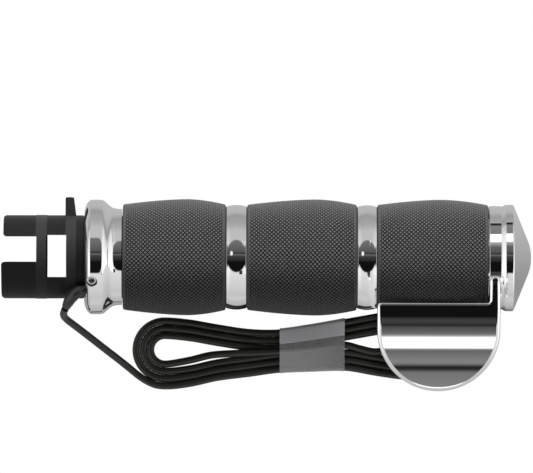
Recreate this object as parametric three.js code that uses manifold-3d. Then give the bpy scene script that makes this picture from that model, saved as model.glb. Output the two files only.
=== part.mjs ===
// The throttle-side half of a pair of heated motorcycle grips, with a chrome thumb paddle.
// A black nylon throttle sleeve slides over the handlebar. An aluminium core, a heater film,
// three rubber sections and two chrome rings sit round it, between a chrome collar and a
// chrome end cap. The paddle's open clip turns about the grip axis on the end cap's neck.
// A thin heater lead leaves the collar, and its spare length lies beside the grip in a flat hank.
//
// Millimetres. +X runs along the grip axis, from the collar to the end cap, and +Z is up.
// The origin is on the axis, at the collar's inboard face. The grip lies on its rubber bellies.

import * as THREE from "three";
import { mergeVertices } from "three/addons/utils/BufferGeometryUtils.js";
import Module from "manifold-3d";

const wasm = await Module();
wasm.setup();

// ---- driving dimensions ----

const ROUND_SIDES = 40; // sides of every large round piece
const CLEARANCE = 0.3; // between pieces that touch

const FLOOR_Z = -19.75; // the surface that the rubber bellies lie on

const SLEEVE_BORE_R = 12.9; // for a 25.4 mm handlebar
const SLEEVE_R = 13.9;
const SLEEVE_END = 128;
const FINGER_START = -27.3; // the upper finger of the forked inboard end
const BLOCK_START = -28; // the lower, longer half of the forked end
const FORK_GAP = { from: -16.1, low: -1.7, high: 6.9 };
const SLEEVE_WINDOW = { from: -12.8, to: -6, low: -6.9, high: 7.4 };
const SLEEVE_RIB = { from: -16.3, to: -12.6, radius: 14.1 };
const SLEEVE_FLANGE = { from: -6.2, to: -2.7, radius: 14.15 };
const STOP_TAB = { from: -6.4, baseTo: -2.7, tipTo: -3.6, root: 13, tip: 20.3, width: 6 };

const CORE = { from: 13.1, to: 137, bore: 14.2, radius: 15 };
const FILM = { from: 16, to: 134, bore: 15.25, radius: 15.6 };

const COVER_BORE_R = 15.9; // bore of the rubber sections and of the chrome rings
const RUBBER_PEAK_R = 19.75;
const RUBBER_END_R = 17.9;
const RUBBER_CORNER = 1;
const RING_EDGE_R = 17.4;
const RING_CROWN_R = 17.8;
// Along the axis: three rubber sections with a chrome ring after the first and the second.
const RUBBERS = {
  rubber_inboard: { from: 13.1, to: 48.1, peakAt: 0.62 },
  rubber_middle: { from: 55.3, to: 92.6, peakAt: 0.62 },
  rubber_outboard: { from: 99.5, to: 137.2, peakAt: 0.57 },
};

const COLLAR = { length: 12.8, bore: 14.25, rim: 19.2, rimEnd: 6.2, waist: 16.3 };
const SCREW = { along: 2.75, radius: 1.9, inner: 14.4, outer: 18.5, key: 1, keyDepth: 2 };
const SCREW_DROP = THREE.MathUtils.degToRad(25.5); // first screw, turned down from +Z to -Y

const NECK_R = 17.6;
const CAP = { from: 137.4, rim: 18.1, rimFrom: 143, rimTo: 145.2, tip: 151.9 };
const CAP_TIP_R = 15.7; // sphere at the very tip
const CAP_CONE = THREE.MathUtils.degToRad(67.5); // cone half angle, from the axis
const SPIGOT = { from: 129, radius: 13.6, bore: 11 };
const ORINGS = { cap_oring_1: 131.6, cap_oring_2: 134.8 };
const ORING = { ring: 13.3, section: 0.6, grooveFloor: 12.4, grooveWidth: 1.8 };

const CLIP = { from: 137.5, to: 141.2, inner: 17.9, outer: 18.9, start: 19, end: 250 };
const PADDLE = { from: 99.5, to: 141.2, top: -15.1, thick: 1.8, bow: 54.2 };
const PADDLE_CENTRE = { y: -7.56, z: -39.07 }; // centre of the paddle's bow
const PADDLE_ROUND_Y = -24.5; // centre of the paddle's round lower edge

const LEAD_R = 1.25;
const LEAD_ANGLE = THREE.MathUtils.degToRad(45); // lead's exit, turned down from +Z to -Y
const SLOT = { width: 3.6, mouthTop: 17.7, mouthDepth: 4, top: 15.85 };
const WIRE = { radius: 0.35, at: 15.4, spread: 0.6, from: 3.8, to: 15.7 };

const HANK = { bottom: -19.15, top: -15.5 };
const HANK_LEFT = { x: 27.3, y: -31.7, outer: 11.15, entry: 232 };
const HANK_RIGHT = { x: 121, y: -29.5, outer: 12.95, inner: 5.1 };
const BAND = { from: 66.5, to: 88.7, wall: 0.35 };
const CONNECTOR = { from: 109, to: 123, y: -29.6, width: 7, height: 5.4, sealLength: 3 };
const CONTACT = { side: 1.1, pitch: 3.2, cavity: 1.8 };

// Centre line of the boot that the lead leaves the collar in, from its root in the collar slot.
const BOOT_ROUTE = [
  [3.5, -11.2, 11.2],
  [0, -11.25, 11.25],
  [-2, -12, 11.9],
  [-4.4, -14.2, 10.9],
  [-6.1, -17, 7.9],
];
const BOOT_RADII = [1.5, 1.5, 2.1, 2.2, 1.7]; // at the same five points

// Centre line of the lead, from the boot's tip to the hank.
const LEAD_ROUTE = [
  [-6.3, -17.55, 7],
  [-6.85, -18.75, 4.9],
  [-6.95, -19.9, 2.6],
  [-6.1, -21.1, 0.3],
  [-4.3, -22.6, -2.2],
  [-1.6, -24.7, -5.4],
  [2.2, -27.7, -9.2],
  [6.6, -31.2, -12.8],
  [11.2, -34.8, -15.9],
  [15.3, -38.1, -17.8],
  [17.6, -40, -18.4],
  [19.3, -41.2, -18.5],
];

// ---- helpers ----

const colour = {
  nylon: { color: 0x26262a, roughness: 0.55, metalness: 0 },
  rubber: { color: 0x3b3b3c, roughness: 0.8, metalness: 0 },
  chrome: { color: 0xd8dadc, roughness: 0.06, metalness: 1 },
  aluminium: { color: 0xb9bcc0, roughness: 0.35, metalness: 1 },
  film: { color: 0xa8702a, roughness: 0.5, metalness: 0 },
  steel: { color: 0x55565a, roughness: 0.3, metalness: 1 },
  cable: { color: 0x23241f, roughness: 0.35, metalness: 0 },
  band: { color: 0xb4b6b8, roughness: 0.3, metalness: 0 },
  seal: { color: 0x8a3a20, roughness: 0.7, metalness: 0 },
  brass: { color: 0xc9a24a, roughness: 0.3, metalness: 1 },
};

const object = new THREE.Group();

function addPiece(name, geometry, look) {
  const piece = new THREE.Mesh(geometry, new THREE.MeshStandardMaterial(look));
  piece.name = name;
  object.add(piece);
}

function toSolid(geometry) {
  const bare = geometry.clone();
  bare.deleteAttribute("normal");
  bare.deleteAttribute("uv");
  const merged = mergeVertices(bare, 1e-5);
  const index = merged.index.array;
  const triVerts = [];
  for (let i = 0; i < index.length; i += 3) {
    const [a, b, c] = index.slice(i, i + 3);
    if (a !== b && b !== c && c !== a) triVerts.push(a, b, c);
  }
  return new wasm.Manifold(
    new wasm.Mesh({
      numProp: 3,
      vertProperties: new Float32Array(merged.attributes.position.array),
      triVerts: new Uint32Array(triVerts),
    })
  );
}

function toGeometry(solid) {
  const mesh = solid.getMesh();
  const geometry = new THREE.BufferGeometry();
  geometry.setAttribute("position", new THREE.BufferAttribute(mesh.vertProperties, 3));
  geometry.setIndex(new THREE.BufferAttribute(mesh.triVerts, 1));
  geometry.computeVertexNormals();
  return geometry;
}

function join(first, ...others) {
  return toGeometry(others.reduce((whole, other) => whole.add(toSolid(other)), toSolid(first)));
}

function cut(body, ...tools) {
  return toGeometry(tools.reduce((whole, tool) => whole.subtract(toSolid(tool)), toSolid(body)));
}

function common(first, second) {
  return toGeometry(toSolid(first).intersect(toSolid(second)));
}

// A solid turned about the grip axis. Points are [along, radius], outer side first to last.
function turned(profile, sides = ROUND_SIDES) {
  const points = profile.map(([along, radius]) => new THREE.Vector2(radius, along));
  return new THREE.LatheGeometry(points, sides).rotateZ(-Math.PI / 2);
}

// A turned piece with a straight bore: the outer profile runs from its inboard end outwards.
function sleeved(outline, bore, sides = ROUND_SIDES) {
  const start = outline[0][0];
  const end = outline[outline.length - 1][0];
  return turned([[start, bore], ...outline, [end, bore], [start, bore]], sides);
}

function pipe({ from, to, bore, radius }) {
  return sleeved([[from, radius], [to, radius]], bore);
}

function box(low, high) {
  const size = high.map((value, axis) => value - low[axis]);
  const middle = high.map((value, axis) => (value + low[axis]) / 2);
  return new THREE.BoxGeometry(...size).translate(...middle);
}

function points3(route) {
  return route.map((place) => new THREE.Vector3(...place));
}

function curve(route) {
  return new THREE.CatmullRomCurve3(points3(route), false, "centripetal");
}

function circle(radius, sides) {
  const turn = (2 * Math.PI) / sides;
  const corner = (i) => new THREE.Vector2(radius * Math.cos(i * turn), radius * Math.sin(i * turn));
  return new THREE.Shape(Array.from({ length: sides }, (_, i) => corner(i)));
}

function extrudeUp(shape, low, high) {
  const options = { depth: high - low, bevelEnabled: false, curveSegments: 20 };
  return new THREE.ExtrudeGeometry(shape, options).translate(0, 0, low);
}

// Turns a piece drawn standing on +Z round the grip axis, down towards -Y.
function swungDown(geometry, angle) {
  return geometry.rotateX(angle);
}

// ---- throttle sleeve ----

function throttleSleeve() {
  const { from: ribFrom, to: ribTo, radius: ribR } = SLEEVE_RIB;
  const { from: flangeFrom, to: flangeTo, radius: flangeR } = SLEEVE_FLANGE;
  const body = sleeved(
    [
      [BLOCK_START, SLEEVE_R],
      [ribFrom, SLEEVE_R],
      [ribFrom, ribR],
      [ribTo, ribR],
      [ribTo, SLEEVE_R],
      [flangeFrom, SLEEVE_R],
      [flangeFrom, flangeR],
      [flangeTo, flangeR],
      [flangeTo, SLEEVE_R],
      [SLEEVE_END, SLEEVE_R],
    ],
    SLEEVE_BORE_R
  );
  const reach = 2 * SLEEVE_R;
  const beyond = BLOCK_START - 1;
  const { low, high } = FORK_GAP;
  const fork = box([beyond, low, -reach], [FORK_GAP.from, high, reach]);
  const fingerTrim = box([beyond, high - 0.1, -reach], [FINGER_START, reach, reach]);
  const opening = box(
    [SLEEVE_WINDOW.from, SLEEVE_WINDOW.low, -reach],
    [SLEEVE_WINDOW.to, SLEEVE_WINDOW.high, reach]
  );
  const tabShape = new THREE.Shape([
    new THREE.Vector2(STOP_TAB.from, STOP_TAB.root),
    new THREE.Vector2(STOP_TAB.baseTo, STOP_TAB.root),
    new THREE.Vector2(STOP_TAB.tipTo, STOP_TAB.tip),
    new THREE.Vector2(STOP_TAB.from, STOP_TAB.tip),
  ]);
  const tab = extrudeUp(tabShape, -STOP_TAB.width / 2, STOP_TAB.width / 2);
  return join(cut(body, fork, fingerTrim, opening), tab);
}

// ---- rubber sections and rings ----

// The belly rises slowly from the inboard end to its peak and falls faster to the outboard end.
function rubberRadius(section, share) {
  const before = share < section.peakAt;
  const away = before
    ? (section.peakAt - share) / section.peakAt
    : (share - section.peakAt) / (1 - section.peakAt);
  return RUBBER_PEAK_R - (RUBBER_PEAK_R - RUBBER_END_R) * away ** (before ? 1.6 : 1.8);
}

function rubberSection(section) {
  const length = section.to - section.from;
  const steps = 8;
  const outline = [[section.from, RUBBER_END_R - RUBBER_CORNER]];
  for (let i = 0; i <= steps; i++) {
    const along = RUBBER_CORNER + ((length - 2 * RUBBER_CORNER) * i) / steps;
    outline.push([section.from + along, rubberRadius(section, along / length)]);
  }
  outline.push([section.to, RUBBER_END_R - RUBBER_CORNER]);
  return sleeved(outline, COVER_BORE_R);
}

function chromeRing(from, to) {
  const middle = (from + to) / 2;
  const outline = [[from, RING_EDGE_R], [middle, RING_CROWN_R], [to, RING_EDGE_R]];
  return sleeved(outline, COVER_BORE_R);
}

// ---- collar and its screws ----

function collar() {
  const { length, bore, rim, rimEnd, waist } = COLLAR;
  const edge = 1.2;
  const outline = [
    [0, rim - edge],
    [0.35, rim - 0.35],
    [edge, rim],
    [rimEnd - edge, rim],
    [rimEnd - 0.3, rim - 0.3],
  ];
  const coveSteps = 5;
  for (let i = 0; i <= coveSteps; i++) {
    const turn = (i / coveSteps) * (Math.PI / 2);
    const along = rimEnd + (length - 0.8 - rimEnd) * (1 - Math.cos(turn));
    outline.push([along, rim - edge - (rim - edge - waist) * Math.sin(turn)]);
  }
  outline.push([length, waist]);
  const body = sleeved(outline, bore);

  const halfSlot = SLOT.width / 2;
  const mouth = box([-1, -halfSlot, 0], [SLOT.mouthDepth, halfSlot, SLOT.mouthTop]);
  const passage = box([0, -halfSlot, 0], [length + 1, halfSlot, SLOT.top]);
  const screwHoles = [0, Math.PI].map((turn) => {
    const hole = new THREE.CylinderGeometry(SCREW.radius + CLEARANCE, SCREW.radius + CLEARANCE, 10, 16);
    hole.rotateX(Math.PI / 2).translate(SCREW.along, 0, rim);
    return swungDown(hole, SCREW_DROP + turn);
  });
  return cut(body, swungDown(mouth, LEAD_ANGLE), swungDown(passage, LEAD_ANGLE), ...screwHoles);
}

function setScrew(turn) {
  const length = SCREW.outer - SCREW.inner;
  const shank = new THREE.CylinderGeometry(SCREW.radius, SCREW.radius, length, 16);
  shank.rotateX(Math.PI / 2).translate(0, 0, (SCREW.inner + SCREW.outer) / 2);
  const key = new THREE.CylinderGeometry(SCREW.key, SCREW.key, 2 * SCREW.keyDepth, 6);
  key.rotateX(Math.PI / 2).translate(0, 0, SCREW.outer);
  return swungDown(cut(shank, key).translate(SCREW.along, 0, 0), SCREW_DROP + turn);
}

// ---- end cap ----

function endCap() {
  const { from, rim, rimFrom, rimTo, tip } = CAP;
  const tipCentre = tip - CAP_TIP_R;
  const coneStartR = CAP_TIP_R * Math.cos(CAP_CONE);
  const coneStart = tipCentre + CAP_TIP_R * Math.sin(CAP_CONE);
  const baseR = 16.2;
  const coneEnd = coneStart - (baseR - coneStartR) / Math.tan(CAP_CONE);
  const outline = [];
  const groove = (at) => {
    const half = ORING.grooveWidth / 2;
    outline.push([at - half, SPIGOT.radius], [at - half, ORING.grooveFloor]);
    outline.push([at + half, ORING.grooveFloor], [at + half, SPIGOT.radius]);
  };
  outline.push([SPIGOT.from, SPIGOT.bore], [SPIGOT.from, SPIGOT.radius]);
  Object.values(ORINGS).forEach(groove);
  outline.push([from, SPIGOT.radius], [from, NECK_R], [rimFrom - 1.7, NECK_R]);
  outline.push([rimFrom - 1, NECK_R - 0.3], [rimFrom, rim], [rimTo, rim], [rimTo + 0.8, rim - 0.6]);
  outline.push([coneEnd, baseR], [coneStart, coneStartR]);
  outline.push([tip - 0.35, coneStartR / 2], [tip, 0]);
  return turned([[from, 0], [from, SPIGOT.bore], ...outline]);
}

function oring(along) {
  const sides = 6;
  const section = [];
  for (let i = 0; i <= sides; i++) {
    const turn = (2 * Math.PI * (i % sides)) / sides;
    section.push([along + ORING.section * Math.sin(turn), ORING.ring + ORING.section * Math.cos(turn)]);
  }
  return turned(section, 24);
}

// ---- paddle with its clip ----

// Outlines in the plane across the axis are drawn with x towards -Y and y up, so turning the
// extrusion stands it across the grip axis.
function extrudeAcross(shape, from, to) {
  const options = { depth: to - from, bevelEnabled: false, curveSegments: 24 };
  const solid = new THREE.ExtrudeGeometry(shape, options);
  const basis = new THREE.Matrix4().makeBasis(
    new THREE.Vector3(0, -1, 0),
    new THREE.Vector3(0, 0, 1),
    new THREE.Vector3(-1, 0, 0)
  );
  return solid.applyMatrix4(basis).translate(to, 0, 0);
}

function throttleBoss() {
  // The clip: an open ring from start to end, measured from +Z round through -Y.
  const toPlane = (degrees) => Math.PI / 2 - THREE.MathUtils.degToRad(degrees);
  const ring = new THREE.Shape();
  ring.absarc(0, 0, CLIP.outer, toPlane(CLIP.start), toPlane(CLIP.end), true);
  ring.absarc(0, 0, CLIP.inner, toPlane(CLIP.end), toPlane(CLIP.start), false);

  // The paddle's bowed sheet, seen along the axis.
  const { bow, thick, top } = PADDLE;
  const centre = { x: -PADDLE_CENTRE.y, y: PADDLE_CENTRE.z };
  const reach = (PADDLE.to - PADDLE.from) / 2;
  const low = PADDLE_ROUND_Y - reach;
  const bowAngle = (y) => Math.acos((-y - centre.x) / bow);
  const sheetShape = (from, to) => {
    const shape = new THREE.Shape();
    shape.absarc(centre.x, centre.y, bow + thick / 2, bowAngle(from), bowAngle(to), true);
    shape.absarc(centre.x, centre.y, bow - thick / 2, bowAngle(to), bowAngle(from), false);
    return shape;
  };
  const sheet = extrudeAcross(sheetShape(top + 2, low - 2), PADDLE.from - 1, PADDLE.to + 1);

  // The paddle's outline seen from above: straight top and sides, round lower edge.
  const middle = (PADDLE.from + PADDLE.to) / 2;
  const outline = new THREE.Shape();
  outline.absarc(middle, PADDLE_ROUND_Y, reach, Math.PI, 2 * Math.PI, false);
  outline.lineTo(PADDLE.to, top);
  outline.lineTo(PADDLE.from, top);
  const plate = common(sheet, extrudeUp(outline, -30, 30));

  // The arm leaves the clip at its start, nearly tangent, and runs on into the sheet. Below it
  // a web fills the corner down to the clip.
  const arm = new THREE.Shape([
    new THREE.Vector2(5.9, 16.95),
    new THREE.Vector2(9.5, 15.35),
    new THREE.Vector2(13.2, 12.3),
    new THREE.Vector2(16.6, 8.6),
    new THREE.Vector2(18.3, 13.4),
    new THREE.Vector2(18, 14.6),
    new THREE.Vector2(16.4, 15.3),
    new THREE.Vector2(5.9, 17.96),
  ]);
  const clip = extrudeAcross(ring, CLIP.from, CLIP.to);
  return join(clip, extrudeAcross(arm, CLIP.from, CLIP.to), plate);
}

// ---- heater lead ----

// A tapering tube: a turned cone whose length is laid along a curve.
function taperedAlong(route, radii, sides) {
  const line = curve(route);
  const steps = 12;
  const radiusAt = (share) => {
    const place = share * (radii.length - 1);
    const before = Math.min(Math.floor(place), radii.length - 2);
    return THREE.MathUtils.lerp(radii[before], radii[before + 1], place - before);
  };
  const profile = [new THREE.Vector2(0, 0)];
  for (let i = 0; i <= steps; i++) profile.push(new THREE.Vector2(radiusAt(i / steps), i));
  profile.push(new THREE.Vector2(0, steps));
  const cone = new THREE.LatheGeometry(profile, sides);
  const frames = line.computeFrenetFrames(steps, false);
  const position = cone.attributes.position;
  for (let i = 0; i < position.count; i++) {
    const step = Math.round(position.getY(i));
    const place = line.getPointAt(step / steps);
    place.addScaledVector(frames.binormals[step], position.getX(i));
    place.addScaledVector(frames.normals[step], position.getZ(i));
    position.setXYZ(i, place.x, place.y, place.z);
  }
  return cone;
}

function leadTube() {
  const options = { steps: 16, extrudePath: curve(LEAD_ROUTE), bevelEnabled: false };
  return new THREE.ExtrudeGeometry(circle(LEAD_R, 8), options);
}

function heaterWire(side) {
  const length = WIRE.to - WIRE.from;
  const wire = new THREE.CylinderGeometry(WIRE.radius, WIRE.radius, length, 8);
  wire.rotateZ(-Math.PI / 2).translate((WIRE.from + WIRE.to) / 2, side * WIRE.spread, WIRE.at);
  return swungDown(wire, LEAD_ANGLE);
}

// The hank's outer shape: a long flat loop with a hollow for the connector.
function hankSolid() {
  const angle = THREE.MathUtils.degToRad;
  const { x: leftX, y: leftY, outer: leftR, entry } = HANK_LEFT;
  const { x: rightX, y: rightY, outer: rightR, inner } = HANK_RIGHT;
  const shape = new THREE.Shape();
  shape.absarc(leftX, leftY, leftR + 2 * LEAD_R, angle(entry), angle(275), false);
  const lowerSide = [
    [36, -44.4],
    [45, -42.4],
    [56.3, -40.9],
    [66.5, -39.5],
    [77, -38.9],
    [88.7, -38.7],
    [99, -40],
  ];
  lowerSide.forEach(([x, y]) => shape.lineTo(x, y));
  shape.absarc(rightX, rightY, rightR, angle(262), angle(98), false);
  const upperSide = [
    [99.3, -19.2],
    [88.7, -21],
    [77, -23.1],
    [66.5, -24.6],
    [56.3, -24.5],
    [45, -22.9],
  ];
  upperSide.forEach(([x, y]) => shape.lineTo(x, y));
  shape.absarc(leftX, leftY, leftR, angle(80), angle(entry), false);

  const hollow = new THREE.Path();
  hollow.absarc(rightX, rightY, inner, angle(-90), angle(90), false);
  hollow.lineTo(CONNECTOR.from - CLEARANCE, CONNECTOR.y + 4.1);
  hollow.lineTo(CONNECTOR.from - CLEARANCE, CONNECTOR.y - 4.1);
  shape.holes.push(hollow);
  return extrudeUp(shape, HANK.bottom, HANK.top);
}

// A clear tie round the runs of the hank, wider where the runs begin to part.
function hankBand() {
  const quad = (grow, overrun) => {
    const corners = [
      [BAND.from - overrun, -24.3 + grow],
      [BAND.to + overrun, -20.6 + grow],
      [BAND.to + overrun, -39.1 - grow],
      [BAND.from - overrun, -39.9 - grow],
    ];
    return new THREE.Shape(corners.map(([x, y]) => new THREE.Vector2(x, y)).reverse());
  };
  const inside = extrudeUp(quad(0, 0.1), HANK.bottom - 0.25, HANK.top + CLEARANCE);
  const top = HANK.top + CLEARANCE + BAND.wall;
  return cut(extrudeUp(quad(BAND.wall, 0), FLOOR_Z, top), inside);
}

function connectorBlock(from, to, shrink) {
  const { y, width, height } = CONNECTOR;
  const half = width / 2 - shrink;
  const block = box([from, y - half, FLOOR_Z + shrink], [to, y + half, FLOOR_Z + height - shrink]);
  const bores = [-1, 1].map((side) => {
    const middle = y + (side * CONTACT.pitch) / 2;
    const reach = CONTACT.cavity / 2;
    const level = FLOOR_Z + height / 2;
    return box([from - 1, middle - reach, level - reach], [to + 1, middle + reach, level + reach]);
  });
  return cut(block, ...bores);
}

function contact(side) {
  const middle = CONNECTOR.y + (side * CONTACT.pitch) / 2;
  const level = FLOOR_Z + CONNECTOR.height / 2;
  const half = CONTACT.side / 2;
  const from = CONNECTOR.from + 1;
  return box([from, middle - half, level - half], [CONNECTOR.to - 1, middle + half, level + half]);
}

// ---- assembly ----

addPiece("throttle_sleeve", throttleSleeve(), colour.nylon);
addPiece("grip_core", pipe(CORE), colour.aluminium);
addPiece("heater_film", pipe(FILM), colour.film);
for (const [name, section] of Object.entries(RUBBERS)) {
  addPiece(name, rubberSection(section), colour.rubber);
}
const { rubber_inboard: first, rubber_middle: second, rubber_outboard: third } = RUBBERS;
const ringGap = 0.1;
addPiece("ring_inboard", chromeRing(first.to + ringGap, second.from - ringGap), colour.chrome);
addPiece("ring_outboard", chromeRing(second.to + ringGap, third.from - ringGap), colour.chrome);
addPiece("inboard_collar", collar(), colour.chrome);
addPiece("collar_set_screw_1", setScrew(0), colour.steel);
addPiece("collar_set_screw_2", setScrew(Math.PI), colour.steel);
addPiece("end_cap", endCap(), colour.chrome);
for (const [name, along] of Object.entries(ORINGS)) {
  addPiece(name, oring(along), colour.rubber);
}
addPiece("throttle_boss", throttleBoss(), colour.chrome);
addPiece("lead_boot", taperedAlong(BOOT_ROUTE, BOOT_RADII, 12), colour.cable);
addPiece("heater_wire_1", heaterWire(1), colour.cable);
addPiece("heater_wire_2", heaterWire(-1), colour.cable);
addPiece("heater_lead", leadTube(), colour.cable);
addPiece("lead_hank", hankSolid(), colour.cable);
addPiece("hank_band", hankBand(), colour.band);
const sealEnd = CONNECTOR.from + CONNECTOR.sealLength;
addPiece("connector_seal", connectorBlock(CONNECTOR.from, sealEnd - 0.1, 0.4), colour.seal);
addPiece("connector_housing", connectorBlock(sealEnd + 0.1, CONNECTOR.to, 0), colour.nylon);
addPiece("connector_contact_1", contact(-1), colour.brass);
addPiece("connector_contact_2", contact(1), colour.brass);

export default object;
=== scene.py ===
"""Looks for the heated throttle grip: fine chrome, knurled rubber, moulded nylon and the tied heater lead.

The frame is that of the CAD model: +X runs along the grip axis from the collar to the end cap, +Z is
up and the origin is on the axis at the collar's inboard face. Shapes are worked out in millimetres,
and become metres when they are added to the scene.
"""

import math

import bmesh
import bpy
from mathutils import Matrix, Vector


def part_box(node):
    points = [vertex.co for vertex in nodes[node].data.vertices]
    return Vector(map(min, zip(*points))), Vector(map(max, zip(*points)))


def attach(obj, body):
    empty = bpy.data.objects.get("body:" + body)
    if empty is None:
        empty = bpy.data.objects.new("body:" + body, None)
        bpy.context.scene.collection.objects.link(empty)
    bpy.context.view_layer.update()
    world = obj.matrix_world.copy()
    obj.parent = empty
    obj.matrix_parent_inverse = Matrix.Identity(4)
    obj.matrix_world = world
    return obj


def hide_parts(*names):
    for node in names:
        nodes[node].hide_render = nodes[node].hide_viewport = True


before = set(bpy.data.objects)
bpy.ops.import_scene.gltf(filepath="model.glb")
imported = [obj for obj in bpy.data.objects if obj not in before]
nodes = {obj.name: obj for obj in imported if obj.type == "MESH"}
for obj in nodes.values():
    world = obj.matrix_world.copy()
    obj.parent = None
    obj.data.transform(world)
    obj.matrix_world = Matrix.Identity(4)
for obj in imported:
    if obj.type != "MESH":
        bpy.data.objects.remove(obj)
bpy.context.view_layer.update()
scene = bpy.context.scene

MM = 0.001
GRIP = "grip"
BOSS = "boss"


# -------- places read from the frame

def span(node):
    """A node's first and last position along the grip axis."""
    low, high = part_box(node)
    return low.x / MM, high.x / MM


def outer_radius(node):
    """Half of a turned node's height."""
    low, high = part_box(node)
    return (high.z - low.z) / 2 / MM


FLOOR_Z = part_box("rubber_middle")[0].z / MM


# -------- camera

VIEW_WIDTH = 533 * 0.34  # the picture is 533 pixels wide, at 0.34 mm each on the grip axis
VIEW_CENTRE = (61.9, 7.1)
CAMERA_HEIGHT = 3500
CAMERA_ROLL = math.radians(0.15)


def make_camera():
    data = bpy.data.cameras.new("camera")
    data.sensor_width = 36
    data.lens = data.sensor_width * CAMERA_HEIGHT / VIEW_WIDTH
    data.clip_start, data.clip_end = 0.1, 20
    camera = bpy.data.objects.new("camera", data)
    camera.location = Vector((*VIEW_CENTRE, CAMERA_HEIGHT)) * MM
    camera.rotation_euler = (0, 0, CAMERA_ROLL)
    scene.collection.objects.link(camera)
    scene.camera = camera


make_camera()


# -------- mesh tools

def add_object(name, shell, sharp_angle=40):
    """A mesh object from (vertices, faces) in millimetres, smooth but for edges over the angle."""
    vertices, faces = shell
    mesh = bpy.data.meshes.new(name)
    mesh.from_pydata([tuple(Vector(v) * MM) for v in vertices], [], faces)
    mesh.validate()
    piece = bpy.data.objects.new(name, mesh)
    scene.collection.objects.link(piece)
    finish_shading(piece, sharp_angle)
    return piece


def finish_shading(piece, sharp_angle):
    mesh = piece.data
    shell = bmesh.new()
    shell.from_mesh(mesh)
    bmesh.ops.remove_doubles(shell, verts=shell.verts, dist=1e-7)
    bmesh.ops.recalc_face_normals(shell, faces=shell.faces)
    shell.to_mesh(mesh)
    shell.free()
    mesh.shade_smooth()
    mesh.set_sharp_from_angle(angle=math.radians(sharp_angle))


def arc(radius, start, end, steps):
    """Flat points from one angle to another, in degrees from the first axis towards the second."""
    angles = (math.radians(start + (end - start) * i / steps) for i in range(steps + 1))
    return [(radius * math.cos(a), radius * math.sin(a)) for a in angles]


def circle(radius, sides):
    return arc(radius, 0, 360, sides)[:-1]


def around_axis(along, radius, angle):
    """The place at an angle about the grip axis, measured from +Z towards -Y."""
    return along, -radius * math.sin(angle), radius * math.cos(angle)


def turned_shell(profile, sides):
    """A closed profile of (along, radius) points turned about the grip axis."""
    vertices, faces, rings = [], [], []
    for along, radius in profile:
        if radius < 1e-6:
            rings.append([len(vertices)] * sides)
            vertices.append((along, 0, 0))
            continue
        rings.append(list(range(len(vertices), len(vertices) + sides)))
        vertices.extend(around_axis(along, radius, 2 * math.pi * i / sides) for i in range(sides))
    for first, second in zip(rings, rings[1:] + rings[:1]):
        for i in range(sides):
            j = (i + 1) % sides
            corners = list(dict.fromkeys([first[i], first[j], second[j], second[i]]))
            if len(corners) > 2:
                faces.append(corners)
    return vertices, faces


def corner_arc(x, radius, corner, outward, steps):
    """Profile points of a corner that turns from along the grip to straight in."""
    return [(x + outward * a, radius - corner + b) for a, b in arc(corner, 90, 0, steps)[1:]]


def turned(name, profile, sides=192, sharp_angle=40):
    return add_object(name, turned_shell(profile, sides), sharp_angle)


def smooth_line(points, step):
    """Points about step apart along a centripetal Catmull-Rom curve through the given ones."""
    points = [Vector(p) for p in points]
    padded = [2 * points[0] - points[1], *points, 2 * points[-1] - points[-2]]
    line = [points[0]]
    for a, b, c, d in zip(padded, padded[1:], padded[2:], padded[3:]):
        t1 = math.sqrt((b - a).length)
        t2 = t1 + math.sqrt((c - b).length)
        t3 = t2 + math.sqrt((d - c).length)
        count = max(1, round((c - b).length / step))
        for i in range(1, count + 1):
            t = t1 + (t2 - t1) * i / count
            ab = a.lerp(b, t / t1)
            bc = b.lerp(c, (t - t1) / (t2 - t1))
            cd = c.lerp(d, (t - t2) / (t3 - t2))
            abc = ab.lerp(bc, t / t2)
            bcd = bc.lerp(cd, (t - t1) / (t3 - t1))
            line.append(abc.lerp(bcd, (t - t1) / (t2 - t1)))
    return line


def tube_faces(rows, size):
    """Faces of a tube of equally long outlines, with both ends closed."""
    faces = []
    for i in range(rows - 1):
        base, following = i * size, (i + 1) * size
        for j in range(size):
            k = (j + 1) % size
            faces.append((base + j, base + k, following + k, following + j))
    last = (rows - 1) * size
    return [*faces, tuple(range(size)), tuple(range(last, last + size))]


def swept_shell(line, section):
    """A section carried along a line. section(i) gives the (side, up) outline at point i."""
    vertices = []
    side = None
    for i, place in enumerate(line):
        forward = (line[min(i + 1, len(line) - 1)] - line[max(i - 1, 0)]).normalized()
        if side is None:
            guide = Vector((0, 0, 1)) if abs(forward.z) < 0.9 else Vector((0, 1, 0))
            side = guide.cross(forward)
        side = (side - forward * side.dot(forward)).normalized()
        up = forward.cross(side)
        outline = section(i)
        vertices.extend(place + side * a + up * b for a, b in outline)
    return vertices, tube_faces(len(line), len(outline))


def block_shell(low, high):
    corners = [(x, y, z) for x in (low[0], high[0]) for y in (low[1], high[1]) for z in (low[2], high[2])]
    faces = [(0, 1, 3, 2), (4, 6, 7, 5), (0, 4, 5, 1), (2, 3, 7, 6), (0, 2, 6, 4), (1, 5, 7, 3)]
    return corners, faces


def prism_shell(outline, low, high):
    """A flat outline of (x, y) points raised from one height to another."""
    vertices = [(x, y, height) for height in (low, high) for x, y in outline]
    return vertices, tube_faces(2, len(outline))


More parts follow.
